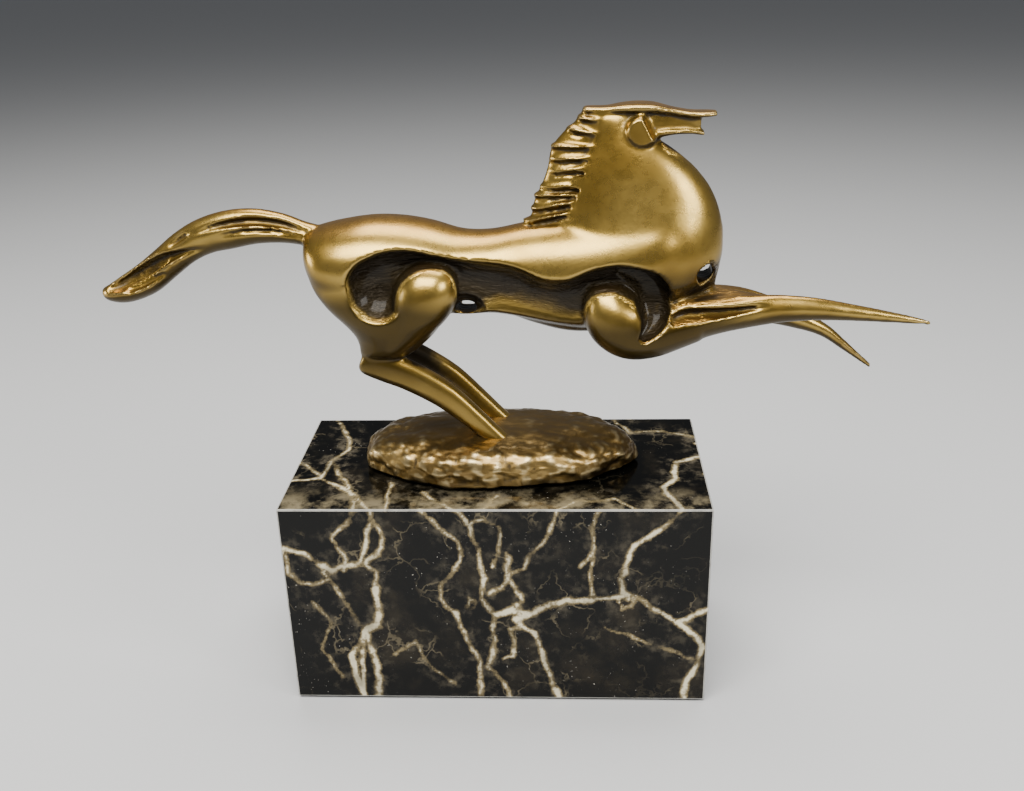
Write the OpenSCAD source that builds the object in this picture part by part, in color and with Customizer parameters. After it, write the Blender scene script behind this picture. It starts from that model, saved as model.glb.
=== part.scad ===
// Bronze horse on a marble block: a stylised running horse cast in sections, pinned together,
// standing on a rocky bronze ground that two studs hold down on a polished marble block.
// Frame: origin in the middle of the felt underside, X along the horse (head at +X), Z up.

/* [Marble base] */
// length of the marble block
base_l = 150; // [120:1:180]
// depth of the marble block
base_d = 75; // [60:1:90]
// height of the block with its felt
base_h = 80; // [60:1:100]
// width of the polished arris
arris = 0.6; // [0.3:0.1:2]
// thickness of the felt sheet
felt_t = 1; // [0.5:0.5:2]
// how far the felt stays inside the block's edge
felt_in = 2; // [1:0.5:5]

/* [Ground casting] */
// length of the oval ground
ground_l = 100; // [80:1:120]
// depth of the oval ground
ground_d = 49; // [40:1:60]
// height of the ground at its middle
ground_h = 16.5; // [12:0.5:20]
// thickness of the ground's shell
ground_wall = 4; // [3:0.5:6]

/* [Fixings] */
// distance between the two studs
stud_gap = 50; // [40:1:60]
// diameter of the counterbore for a nut and washer
pocket_d = 22; // [20:1:26]
// depth of the counterbore above the felt
pocket_h = 25; // [15:1:35]
// outside diameter of a washer
washer_d = 18; // [12:1:20]

/* [Horse castings] */
// x of the seam between the two body castings
seam_x = 17; // [10:1:24]
// x of the seam where the forelegs join
leg_seam_x = 66; // [62:1:70]
// z of the seam where the hind legs join
hock_seam_z = 131; // [129:0.5:133]
// half the distance between the two forelegs
fore_y = 9; // [7:0.5:11]
// half the distance between the two hind legs
hind_y = 9; // [7:0.5:11]
// depth of the carved hollows in the flanks
carve = 6; // [3:0.5:8]

/* [Joints between castings] */
// diameter of the sleeve between the body castings
sleeve_d = 12; // [8:1:14]
// diameter of the leg dowels
leg_dowel_d = 4; // [3:0.5:5]
// diameter of the head and tail dowels
small_dowel_d = 3; // [2:0.5:4]
// diameter of the core plugs
plug_d = 6; // [4:1:8]

/* [Hidden] */
stud_d = 6;
nut_af = 10;
nut_h = 5.2;
washer_t = 1.6;
pocket_z = felt_t + pocket_h;
stud_z = pocket_z - washer_t - nut_h - 3;
top = base_h;
ring = 24;
$fn = 48;

// node to draw

bronze = [0.62, 0.46, 0.20];
dark_bronze = [0.45, 0.32, 0.14];
steel = [0.70, 0.71, 0.73];

// ---- shaping tools ----

// smooth curve through a list of sections, k steps between neighbours
function at(p, i) = p[max(0, min(len(p) - 1, i))];
function pass(a, b, c, d, t) =
    0.5 * ((2 * b) + (c - a) * t + (2 * a - 5 * b + 4 * c - d) * t * t
    + (3 * b - a - 3 * c + d) * t * t * t);
function smooth(p, k) = concat(
    [for (i = [0:len(p) - 2], j = [0:k - 1]) pass(at(p, i - 1), p[i], p[i + 1], at(p, i + 2), j / k)],
    [p[len(p) - 1]]);

// one ring of a section [x, y, z, half width, half height, angle of the path in the XZ plane]
function power(v, e) = sign(v) * pow(abs(v), e);
function loop(s, n, e) = [for (k = [0:n - 1])
    let (t = 360 * k / n, a = s[5], h = s[4] * power(cos(t), e), w = s[3] * power(sin(t), e))
    [s[0] - sin(a) * h, s[1] + w, s[2] + cos(a) * h]];

// closed solid through the sections; e below 1 squares the section, above 1 makes it keen
module loft(sections, k = 3, n = ring, e = 1) {
    s = k > 1 ? smooth(sections, k) : sections;
    m = len(s);
    polyhedron(
        points = [for (r = s) each loop(r, n, e)],
        faces = concat(
            [[for (i = [n - 1:-1:0]) i]],
            [for (r = [0:m - 2], i = [0:n - 1])
                let (j = (i + 1) % n) each [[r * n + i, (r + 1) * n + j, (r + 1) * n + i],
                    [r * n + i, r * n + j, (r + 1) * n + j]]],
            [[for (i = [0:n - 1]) (m - 1) * n + i]]));
}

// egg shape at p with three half sizes
module egg(p, r, n = 24) {
    translate(p) scale(r) sphere(r = 1, $fn = n);
}

// the same thing on both sides of the horse
module both() {
    children();
    mirror([0, 1, 0]) children();
}

// round bar from p along the direction turned by a from +X in the XZ plane
module bar(p, a, len, d) {
    translate(p) rotate([0, 90 - a, 0]) cylinder(h = len, d = d);
}

// everything inside becomes one solid of flat facets
module cast_solid() {
    resize([0, 0, 0]) union() children();
}

// ---- marble base and its fixings ----

module felt_sheet() {
    color([0.10, 0.22, 0.14])
        translate([felt_in - base_l / 2, felt_in - base_d / 2, 0])
            cube([base_l - 2 * felt_in, base_d - 2 * felt_in, felt_t]);
}

module block() {
    hull() {
        translate([arris - base_l / 2, arris - base_d / 2, felt_t])
            cube([base_l - 2 * arris, base_d - 2 * arris, base_h - felt_t]);
        translate([-base_l / 2, arris - base_d / 2, felt_t + arris])
            cube([base_l, base_d - 2 * arris, base_h - felt_t - 2 * arris]);
        translate([arris - base_l / 2, -base_d / 2, felt_t + arris])
            cube([base_l - 2 * arris, base_d, base_h - felt_t - 2 * arris]);
    }
}

module marble_base() {
    color([0.10, 0.10, 0.09]) difference() {
        block();
        for (x = [-stud_gap / 2, stud_gap / 2]) {
            translate([x, 0, 0]) cylinder(h = base_h + 1, d = stud_d + 1);
            translate([x, 0, 0]) cylinder(h = pocket_z, d = pocket_d);
        }
    }
}

module fixing_studs() {
    color(steel) for (x = [-stud_gap / 2, stud_gap / 2]) translate([x, 0, stud_z]) {
        translate([0, 0, 0.6]) cylinder(h = top + 7 - stud_z - 1.2, d = stud_d);
        cylinder(h = 0.6, d1 = stud_d - 1.2, d2 = stud_d);
        translate([0, 0, top + 7 - stud_z - 0.6]) cylinder(h = 0.6, d1 = stud_d, d2 = stud_d - 1.2);
    }
}

module stud_washers() {
    color(steel) for (x = [-stud_gap / 2, stud_gap / 2]) translate([x, 0, pocket_z - washer_t])
        difference() {
            cylinder(h = washer_t, d = washer_d);
            translate([0, 0, -1]) cylinder(h = washer_t + 2, d = stud_d + 0.4);
        }
}

module stud_nuts() {
    color(steel) for (x = [-stud_gap / 2, stud_gap / 2])
        translate([x, 0, pocket_z - washer_t - nut_h]) difference() {
            intersection() {
                linear_extrude(nut_h) circle(d = nut_af / cos(30), $fn = 6);
                cylinder(h = nut_h, d = nut_af * 1.12);
            }
            translate([0, 0, -1]) cylinder(h = nut_h + 2, d = stud_d);
        }
}

// ---- ground casting ----

// height of the rocky ground at the share u of the way out, in the direction t
function rocky(u, t) = (ground_h - 4) * pow(max(0, 1 - u * u * u * 0.98), 0.8) + 4 * (u < 0.97 ? 1 : 0.6)
    + 0.5 * sin(5 * t + 700 * u) + 0.4 * cos(9 * t - 500 * u) * u;
function rim(t) = 1 + 0.012 * sin(3 * t + 20) + 0.012 * cos(7 * t) + 0.008 * sin(13 * t);

module ground_shape(grow, lift, steps = 7, n = 44) {
    polyhedron(
        points = concat([[0, 0, top + rocky(0, 0) + lift]],
            [for (r = [1:steps], k = [0:n - 1]) let (t = 360 * k / n, u = r / steps)
                [(ground_l / 2 + grow) * u * rim(t) * cos(t), (ground_d / 2 + grow) * u * rim(t) * sin(t),
                    top + rocky(u, t) + lift]],
            [for (k = [0:n - 1]) let (t = 360 * k / n)
                [(ground_l / 2 + grow) * rim(t) * cos(t), (ground_d / 2 + grow) * rim(t) * sin(t), top + min(0, lift)]]),
        faces = concat(
            [for (k = [0:n - 1]) [0, 1 + (k + 1) % n, 1 + k]],
            [for (r = [0:steps - 1], k = [0:n - 1]) let (j = (k + 1) % n)
                each [[1 + r * n + k, 1 + r * n + j, 1 + (r + 1) * n + j],
                    [1 + r * n + k, 1 + (r + 1) * n + j, 1 + (r + 1) * n + k]]],
            [[for (k = [0:n - 1]) 1 + steps * n + k]]));
}

module ground_casting() {
    color(dark_bronze) difference() {
        cast_solid() {
            difference() {
                ground_shape(0, 0);
                ground_shape(-ground_wall, -ground_wall, 4, 36);
            }
            intersection() {
                ground_shape(-1, -0.7, 5, 36);
                union() {
                    for (x = [-stud_gap / 2, stud_gap / 2]) translate([x, 0, top]) cylinder(h = 30, d = 13, $fn = 32);
                    translate([-14, -15, top + 3]) cube([28, 30, 30]);
                }
            }
        }
        for (x = [-stud_gap / 2, stud_gap / 2]) translate([x, 0, top - 1]) cylinder(h = 9, d = stud_d);
        hoof_pins();
    }
}

// ---- body castings ----

// trunk from the rump to the chest: upright rings [x, y, z, half width, half height, angle]
trunk = [
    [-65.0, 0, 162, 5, 3, 0], [-62.5, 0, 161, 13, 9, 0], [-56, 0, 159.5, 18, 13, 0],
    [-46, 0, 158.5, 20.5, 15.8, 0], [-34, 0, 157.5, 20, 17.4, 0], [-22, 0, 156, 18, 17.4, 0],
    [-10, 0, 153.5, 16, 16, 0], [2, 0, 153.2, 15.5, 15.9, 0], [14, 0, 153, 16.5, 18.2, 0],
    [26, 0, 154, 18.5, 21.5, 0], [40, 0, 155, 19.5, 24, 0], [54, 0, 157, 18.5, 23, 0],
    [66, 0, 160, 14, 18.5, 0], [74, 0, 161, 8, 12.5, 0], [78.3, 0, 161.5, 2.5, 5, 0]];

// neck: flat rings, half height runs along X
neck = [
    [48, 0, 150, 18, 28, 90], [47.5, 0, 160, 18, 30.5, 90], [49, 0, 169, 15.5, 28.8, 90],
    [50.5, 0, 177, 13.2, 25, 90], [50, 0, 184, 11.3, 20.5, 90], [48, 0, 190, 9.6, 16.5, 90],
    [46, 0, 195, 8.2, 12.5, 90], [45, 0, 199.5, 7, 9.5, 90]];

// haunch on the right side, down to just above the hock
haunch = [
    [-46.5, -8.5, 121.5, 3.6, 3.6, 90], [-42, -hind_y, 125, 4.6, 7.2, 90],
    [-38.5, -hind_y, 128, 5.6, 10.5, 90], [-36.8, -hind_y, 131.5, 6.6, 14, 90],
    [-36.5, -10, 136, 7.6, 18.6, 90], [-37, -10.5, 142, 8.5, 22.6, 90],
    [-37.5, -10, 149, 9, 24.6, 90], [-37, -9, 158, 9, 24, 90]];

module trunk_shape() {
    loft(trunk, 2);
}

module neck_shape() {
    loft(neck, 2);
}

module thigh_ball() {
    egg([-22, -12.5, 148], [12, 10, 12.3]);
}

module shoulder_ball() {
    egg([44.5, -13, 140.5], [13.5, 10.5, 13.5]);
    egg([50.5, -12.5, 133.5], [10, 8.5, 8.3]);
}

// hollow carved under the lower edge of the skin, right side: a bowl in the rump that runs
// on as a band over the thigh, along the flank and over the shoulder
module rump_hollow() {
    translate([-41, -22.5, 152.5]) rotate([0, 10, 0]) scale([8.5, carve + 3, 12.5]) sphere(r = 1, $fn = 24);
}

module flank_hollow() {
    band = [[-44, -22, 158, 3, 3, 0], [-36, -22, 158, carve + 1, 7, 0], [-20, -21.5, 155.5, carve + 3, 8.5, 0],
        [-6, -20, 151.5, carve + 3, 10, 0], [5, -20, 149, carve + 3, 11.5, 0],
        [15, -20.5, 146, carve + 3.5, 10.5, 0], [27, -22, 146, carve + 4, 9.5, 0],
        [38, -22.5, 150.5, carve + 4, 9.5, 0], [48, -22.5, 150.5, carve + 4, 9, 0],
        [57, -21.5, 147.5, carve + 4, 7.5, 0], [63, -20, 146, carve + 1, 3.5, 0]];
    loft(band, 2, 20);
}

// what the hollows take out, leaving the thigh and shoulder standing in them
module hollows() {
    both() difference() {
        union() {
            rump_hollow();
            flank_hollow();
        }
        thigh_ball();
        shoulder_ball();
    }
}

module hindquarters() {
    color(bronze) difference() {
        cast_solid() difference() {
            intersection() {
                union() {
                    trunk_shape();
                    both() {
                        loft(haunch, 2);
                        thigh_ball();
                    }
                }
                translate([-80, -40, hock_seam_z]) cube([80 + seam_x, 80, 60]);
            }
            hollows();
            egg([-36, 0, 157], [20, 9, 11], 20);
            translate([-30, 0, 136]) cylinder(h = 16, d = plug_d - 1, $fn = 12);
            translate([-9, -30, 142]) rotate([-90, 0, 0]) scale([1.7, 1, 1]) cylinder(h = 60, r = 2.2, $fn = 20);
        }
        body_sleeve_bar();
        tail_dowel();
        hind_leg_dowels();
        translate([-30, 0, 136]) cylinder(h = 16, d = plug_d);
    }
}

module forequarters() {
    color(bronze) difference() {
        cast_solid() difference() {
            intersection() {
                union() {
                    trunk_shape();
                    neck_shape();
                    both() shoulder_ball();
                    loft(right_fore, 2, 18, 1.2);
                    loft(left_fore, 2, 18, 1.2);
                }
                translate([seam_x, -40, 120]) cube([80, 80, 100]);
            }
            hollows();
            fore_cut();
            egg([47, 0, 157], [18, 9, 20], 20);
            translate([45, 0, 125]) cylinder(h = 20, d = plug_d - 1, $fn = 12);
            translate([72, -30, 154.5]) rotate([-90, 0, 0]) scale([0.75, 1, 1]) cylinder(h = 60, r = 4.2, $fn = 20);
        }
        body_sleeve_bar();
        foreleg_dowels();
        head_dowels();
        mane_pins();
        translate([45, 0, 125]) cylinder(h = 20, d = plug_d);
    }
}

module body_sleeve_bar() {
    bar([seam_x - 10, 0, 158], 0, 20, sleeve_d);
}

module body_sleeve() {
    color(bronze) difference() {
        body_sleeve_bar();
        bar([seam_x - 11, 0, 158], 0, 22, sleeve_d - 5);
    }
}

module core_plugs() {
    color(bronze) {
        translate([-30, 0, 140.5]) cylinder(h = 6, d = plug_d);
        translate([45, 0, 131.5]) cylinder(h = 6, d = plug_d);
    }
}

// ---- head, mane and tail ----

plate = [[31.8, 0, 208.2, 2.5, 0.7, 0], [38, 0, 208.2, 6.5, 1.1, 0], [46, 0, 208.8, 9, 1.4, 0],
    [54, 0, 208.9, 9, 1.4, 0], [62, 0, 207.4, 7, 1.2, 0], [68, 0, 206.6, 5, 1, 0],
    [74, 0, 206.1, 3.2, 0.7, 0]];
skull = [[35, 0, 203.5, 3.5, 3.2, 0], [41, 0, 202, 6, 5.6, 0], [49, 0, 202.2, 6.4, 5.8, 0],
    [57, 0, 203.2, 4.6, 4.2, 0], [65, 0, 203.9, 3, 2.6, 0], [72.5, 0, 204.2, 2, 1.6, 0]];
jaw = [[50, 0, 200.8, 5.5, 3, 0], [57, 0, 201, 4.2, 2, 0], [64, 0, 200.9, 3.4, 1.3, 0],
    [70.5, 0, 200.2, 2.6, 0.8, 0]];

module head_shape() {
    loft(plate, 2, 16, 0.8);
    loft(skull, 2, 16);
    loft(jaw, 2, 12);
    both() translate([49.5, -6.2, 201.2]) rotate([8, 0, 0]) scale([5.8, 2.6, 4.8]) sphere(r = 1, $fn = 18);
}

module head_casting() {
    color(bronze) difference() {
        cast_solid() difference() {
            head_shape();
            neck_shape();
        }
        head_dowels();
    }
}

module head_dowels() {
    color(bronze) for (x = [41, 50]) translate([x, 0, 194]) cylinder(h = 10, d = small_dowel_d);
}

// back edge of the mane at the height z
function mane_x(z) = lookup(z, [[168, 9.5], [172, 13.5], [178, 15], [182, 17], [189, 19.8], [196, 22],
    [201, 26], [205, 29.5], [209, 31.5]]);

module mane_casting() {
    core = [[21, 0, 169.5, 3, 6.5, 90], [23.5, 0, 177, 3.4, 6.5, 90], [27, 0, 186, 3.6, 6, 90],
        [30.5, 0, 195, 3.8, 6, 90], [34, 0, 201, 4, 5.6, 90], [35, 0, 206, 3.6, 4, 90]];
    color(dark_bronze) difference() {
        cast_solid() difference() {
            union() {
                loft(core, 1, 14);
                for (i = [0:8]) let (z = 173 + 4 * i, x = mane_x(z))
                    loft([[x, 0, z, 0.8, 0.8, 0], [x + 3, 0, z + 0.3, 3.8, 1.5, 0], [x + 8, 0, z + 0.7, 6.6 - 0.25 * i, 1.5, 0],
                        [x + 15, 0, z + 1.1, 8 - 0.3 * i, 0.8, 0]], 1, 8);
            }
            neck_shape();
            trunk_shape();
            head_shape();
        }
        mane_pins();
    }
}

module mane_pins() {
    color(bronze) for (i = [0, 1]) bar([24.5 + 6 * i, 0, 178 + 12 * i], -8, 10, small_dowel_d - 0.5);
}

module tail_casting() {
    path = [[-138.4, -0.5, 146.8, 2.2, 1.6, 0], [-134, -0.5, 147.5, 5.5, 4.2, 12], [-127, 0, 149.6, 7.2, 5.8, 24],
        [-119, 0.5, 154.2, 7, 5.9, 34], [-110.5, 1, 160.6, 5, 6.6, 36], [-102, 0.5, 166.2, 5.4, 5.8, 28],
        [-92, 0, 169.4, 6.6, 7, 10], [-82, 0, 170.8, 6.4, 6.4, 0], [-72, 0, 170, 5, 5.3, -6],
        [-64, 0, 168, 4.4, 4.6, -12], [-58, 0, 166.5, 4, 4, -12]];
    color(bronze) difference() {
        cast_solid() difference() {
            loft(path, 2, 22, 1.15);
            trunk_shape();
            loft([[-134, -6.5, 150.5, 3, 1.6, 20], [-126, -7.5, 153, 4.6, 3, 26], [-117, -7.5, 157.4, 4.2, 3, 32],
                [-108, -6, 162, 2, 1.6, 34]], 2, 14);
            loft([[-98, -6.5, 170.5, 1.5, 1.2, 20], [-88, -7, 173.4, 2.6, 1.8, 4], [-76, -6, 172.8, 2.4, 1.5, -6],
                [-67, -4.5, 171, 1.4, 1, -10]], 2, 14);
        }
        tail_dowel();
    }
}

module tail_dowel() {
    color(bronze) bar([-71, 0, 169.3], -12, 14, small_dowel_d);
}

// ---- legs ----

// the space the forelegs take up
module fore_cut() {
    translate([leg_seam_x, -40, 100]) cube([120, 80, 48]);
}

right_fore = [[58, -11, 135, 8, 9, 12], [66, -10.5, 137.4, 7.6, 7, 10], [76, -10, 138.8, 6.8, 5.8, 8],
    [86, -fore_y, 140.2, 6, 5.4, 6], [97, -fore_y, 141.3, 5, 4.8, 3], [109, -fore_y + 0.3, 141.3, 4, 3.8, -2],
    [121, -fore_y + 0.5, 139.9, 3.1, 3, -6], [133, -fore_y + 0.8, 138.3, 2.2, 2.1, -8],
    [144, -fore_y + 1, 136.6, 1.4, 1.3, -9], [149, -fore_y + 1, 135.7, 0.7, 0.6, -9]];
left_fore = [[58, 11, 135, 8, 9, 12], [66, 10.5, 137.4, 7.6, 7, 8], [76, 10, 138.4, 6.8, 5.8, 4],
    [86, fore_y, 137.6, 6, 5.5, -8], [96, fore_y, 135.4, 5, 4.9, -18], [106, fore_y, 132.1, 4, 3.6, -27],
    [117.5, fore_y, 127.3, 3, 2.4, -37], [125.5, fore_y, 121, 2, 1.6, -41],
    [131, fore_y, 116.5, 1.4, 1.1, -39], [135, fore_y, 113, 0.6, 0.5, -38]];

module right_foreleg() {
    color(bronze) difference() {
        cast_solid() intersection() {
            union() {
                loft(right_fore, 2, 18, 1.2);
                loft([[62, -6, 142.5, 7, 2.2, 4], [72, -6, 143.3, 7, 1.9, 4], [82, -5.5, 144.1, 5.2, 1.4, 4],
                    [92, -6.5, 144.6, 2.6, 0.8, 2]], 2, 14);
            }
            fore_cut();
            translate([0, -40, 0]) cube([200, 40, 200]);
        }
        foreleg_dowels();
    }
}

module left_foreleg() {
    color(bronze) difference() {
        cast_solid() intersection() {
            union() {
                loft(left_fore, 2, 18, 1.2);
                loft([[62, 6, 142.5, 7, 2.2, 4], [72, 6, 143.3, 7, 1.9, 2], [82, 7, 142.6, 5.2, 1.3, -6],
                    [91, 8, 141.2, 2.6, 0.8, -12]], 2, 14);
            }
            fore_cut();
            translate([0, 0, 0]) cube([200, 40, 200]);
        }
        foreleg_dowels();
    }
}

module foreleg_dowels() {
    color(bronze) for (y = [-10.5, 10.5]) bar([leg_seam_x - 7, y, 137.3], 0, 14, leg_dowel_d);
}

module hind_leg() {
    cannon = [[-47.5, -8.5, 122.6, 2.6, 2, -28], [-43, -8.6, 121.4, 4.2, 4.6, -26], [-35, -8.8, 119, 4.6, 5.4, -28],
        [-25, -hind_y, 114.8, 4.4, 5, -34], [-15, -hind_y, 108.2, 4, 4.6, -39], [-6, -hind_y, 100.6, 3.8, 4.3, -43],
        [3, -hind_y, 91.8, 3.8, 4.2, -45]];
    cast_solid() difference() {
        union() {
            loft(cannon, 2, 18, 1.2);
            intersection() {
                loft(haunch, 2);
                translate([-80, -40, 100]) cube([80, 80, hock_seam_z - 100]);
            }
        }
        ground_shape(0, 0);
    }
}

module right_hind_leg() {
    color(bronze) difference() {
        hind_leg();
        hind_leg_dowels();
        hoof_pins();
    }
}

module left_hind_leg() {
    color(bronze) difference() {
        mirror([0, 1, 0]) hind_leg();
        hind_leg_dowels();
        hoof_pins();
    }
}

module hind_leg_dowels() {
    color(bronze) for (y = [-hind_y, hind_y]) translate([-37.5, y, hock_seam_z - 6]) cylinder(h = 12, d = leg_dowel_d);
}

module hoof_pins() {
    color(bronze) for (y = [-hind_y, hind_y]) bar([-11, y, 105], -43, 22, small_dowel_d);
}

felt_sheet();
marble_base();
fixing_studs();
stud_washers();
stud_nuts();
ground_casting();
hindquarters();
forequarters();
body_sleeve();
head_casting();
head_dowels();
mane_casting();
mane_pins();
tail_casting();
tail_dowel();
right_foreleg();
left_foreleg();
foreleg_dowels();
right_hind_leg();
left_hind_leg();
hind_leg_dowels();
hoof_pins();
core_plugs();
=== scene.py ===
import math

import bpy
import numpy as np
from mathutils import Matrix, Vector, noise
from mathutils.bvhtree import BVHTree
from mathutils.kdtree import KDTree


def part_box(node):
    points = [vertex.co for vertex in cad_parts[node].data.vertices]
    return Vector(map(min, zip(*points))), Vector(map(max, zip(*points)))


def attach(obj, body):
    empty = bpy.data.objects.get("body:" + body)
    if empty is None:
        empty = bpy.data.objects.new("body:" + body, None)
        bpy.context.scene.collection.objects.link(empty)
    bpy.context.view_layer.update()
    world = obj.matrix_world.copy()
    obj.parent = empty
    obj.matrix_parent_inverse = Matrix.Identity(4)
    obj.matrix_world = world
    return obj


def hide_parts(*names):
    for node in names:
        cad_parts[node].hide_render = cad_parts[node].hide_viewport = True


mm = 0.001  # every shape below is written in millimetres
fine = 0.55  # grain of the finished castings

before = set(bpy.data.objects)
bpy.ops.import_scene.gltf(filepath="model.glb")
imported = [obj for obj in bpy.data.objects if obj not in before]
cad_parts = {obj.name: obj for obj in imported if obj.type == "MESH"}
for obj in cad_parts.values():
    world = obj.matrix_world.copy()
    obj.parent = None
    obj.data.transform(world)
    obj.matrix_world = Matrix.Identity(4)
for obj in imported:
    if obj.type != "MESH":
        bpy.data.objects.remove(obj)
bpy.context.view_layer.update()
bpy.ops.object.select_all(action="DESELECT")


# shaping helpers

def only(obj):  # obj alone selected and active
    bpy.ops.object.select_all(action="DESELECT")
    obj.select_set(True)
    bpy.context.view_layer.objects.active = obj


def useModifier(obj, kind, **values):  # adds a modifier and applies it at once
    only(obj)
    mod = obj.modifiers.new(kind.title(), kind)
    for key, value in values.items():
        setattr(mod, key, value)
    bpy.ops.object.modifier_apply(modifier=mod.name)


def joinAll(name, objs):
    only(objs[0])
    for o in objs[1:]:
        o.select_set(True)
    if len(objs) > 1:
        bpy.ops.object.join()
    objs[0].name = name
    return objs[0]


def copyOf(obj, name):
    new = obj.copy()
    new.data = obj.data.copy()
    new.name = name
    bpy.context.scene.collection.objects.link(new)
    return new


def mirrored(obj, name):  # the same shape on the other side of the horse
    new = copyOf(obj, name)
    new.data.transform(Matrix.Scale(-1, 4, (0, 1, 0)))
    new.data.flip_normals()
    return new


def voxel(obj, size, rounds=0, strength=0.5):  # one closed skin over everything in obj
    useModifier(obj, "REMESH", mode="VOXEL", voxel_size=size * mm, adaptivity=0)
    if rounds:
        useModifier(obj, "SMOOTH", factor=strength, iterations=rounds)
    return obj


def cut(obj, tool, keep=False):
    useModifier(obj, "BOOLEAN", operation="DIFFERENCE", object=tool, solver="MANIFOLD")
    if not keep:
        bpy.data.objects.remove(tool)
    return obj


def keepInside(obj, tool):
    useModifier(obj, "BOOLEAN", operation="INTERSECT", object=tool, solver="MANIFOLD")
    return obj


def curveThrough(rings, steps):  # smooth run through the rings
    out = []
    last = len(rings) - 1
    for i in range(last):
        a, b = rings[max(i - 1, 0)], rings[i]
        c, d = rings[i + 1], rings[min(i + 2, last)]
        for j in range(steps):
            t = j / steps
            out.append([0.5 * (2 * q + (r - p) * t + (2 * p - 5 * q + 4 * r - s) * t * t
                               + (3 * q - p - 3 * r + s) * t ** 3) for p, q, r, s in zip(a, b, c, d)])
    return out + [list(rings[last])]


def loft(name, rings, count=40, steps=4, keen=1.0):
    # rings: x, y, z, half width, half height, tilt of the path, roll of the ring
    rings = [list(r) + [0] * (7 - len(r)) for r in rings]
    path = curveThrough(rings, steps)
    verts, faces = [], []
    for x, y, z, w, h, tilt, roll in path:
        a, q = math.radians(tilt), math.radians(roll)
        for k in range(count):
            t = 2 * math.pi * k / count
            up = h * math.copysign(abs(math.cos(t)) ** keen, math.cos(t))
            side = w * math.copysign(abs(math.sin(t)) ** keen, math.sin(t))
            up, side = up * math.cos(q) - side * math.sin(q), up * math.sin(q) + side * math.cos(q)
            verts.append(((x - math.sin(a) * up) * mm, (y + side) * mm, (z + math.cos(a) * up) * mm))
    for r in range(len(path) - 1):
        for k in range(count):
            j = (k + 1) % count
            faces.append((r * count + k, (r + 1) * count + k, (r + 1) * count + j, r * count + j))
    faces.append(tuple(range(count)))
    faces.append(tuple((len(path) - 1) * count + k for k in reversed(range(count))))
    mesh = bpy.data.meshes.new(name)
    mesh.from_pydata(verts, [], faces)
    obj = bpy.data.objects.new(name, mesh)
    bpy.context.scene.collection.objects.link(obj)
    only(obj)
    bpy.ops.object.mode_set(mode="EDIT")
    bpy.ops.mesh.select_all(action="SELECT")
    bpy.ops.mesh.normals_make_consistent(inside=False)
    bpy.ops.object.mode_set(mode="OBJECT")
    return obj


def alongPath(rings, start, end, rise, deep, tall, count=9):  # rings of a strand lying on a loft's near side
    path = curveThrough(rings, 8)
    out = []
    for i in range(count):
        share = i / (count - 1)
        x, y, z, w, h, tilt = path[round((start + (end - start) * share) * (len(path) - 1))]
        a = math.radians(tilt)
        swell = 0.25 + 0.75 * math.sin(math.pi * share)
        side = y - w * math.sqrt(1 - rise * rise)
        out.append((x - math.sin(a) * h * rise, side, z + math.cos(a) * h * rise, deep * swell,
                    tall * swell, tilt))
    return out


def egg(name, place, radii, turn=(0, 0, 0), count=40):
    bpy.ops.mesh.primitive_uv_sphere_add(segments=count, ring_count=count // 2, radius=mm,
                                         location=[v * mm for v in place],
                                         rotation=[math.radians(v) for v in turn], scale=radii)
    obj = bpy.context.active_object
    obj.name = name
    bpy.ops.object.transform_apply(location=True, rotation=True, scale=True)
    return obj


def block(name, low, high):
    bpy.ops.mesh.primitive_cube_add(size=mm, location=[(a + b) / 2 * mm for a, b in zip(low, high)],
                                    scale=[b - a for a, b in zip(low, high)])
    obj = bpy.context.active_object
    obj.name = name
    bpy.ops.object.transform_apply(location=True, rotation=True, scale=True)
    return obj


def rod(name, a, b, radius, count=28):
    a, b = Vector(a) * mm, Vector(b) * mm
    turn = (b - a).to_track_quat("Z", "Y").to_euler()
    bpy.ops.mesh.primitive_cylinder_add(vertices=count, radius=radius * mm, depth=(b - a).length,
                                        location=(a + b) / 2, rotation=turn)
    obj = bpy.context.active_object
    obj.name = name
    bpy.ops.object.transform_apply(location=True, rotation=True, scale=True)
    return obj


# shapes of the horse, each ring or place in millimetres

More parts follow.
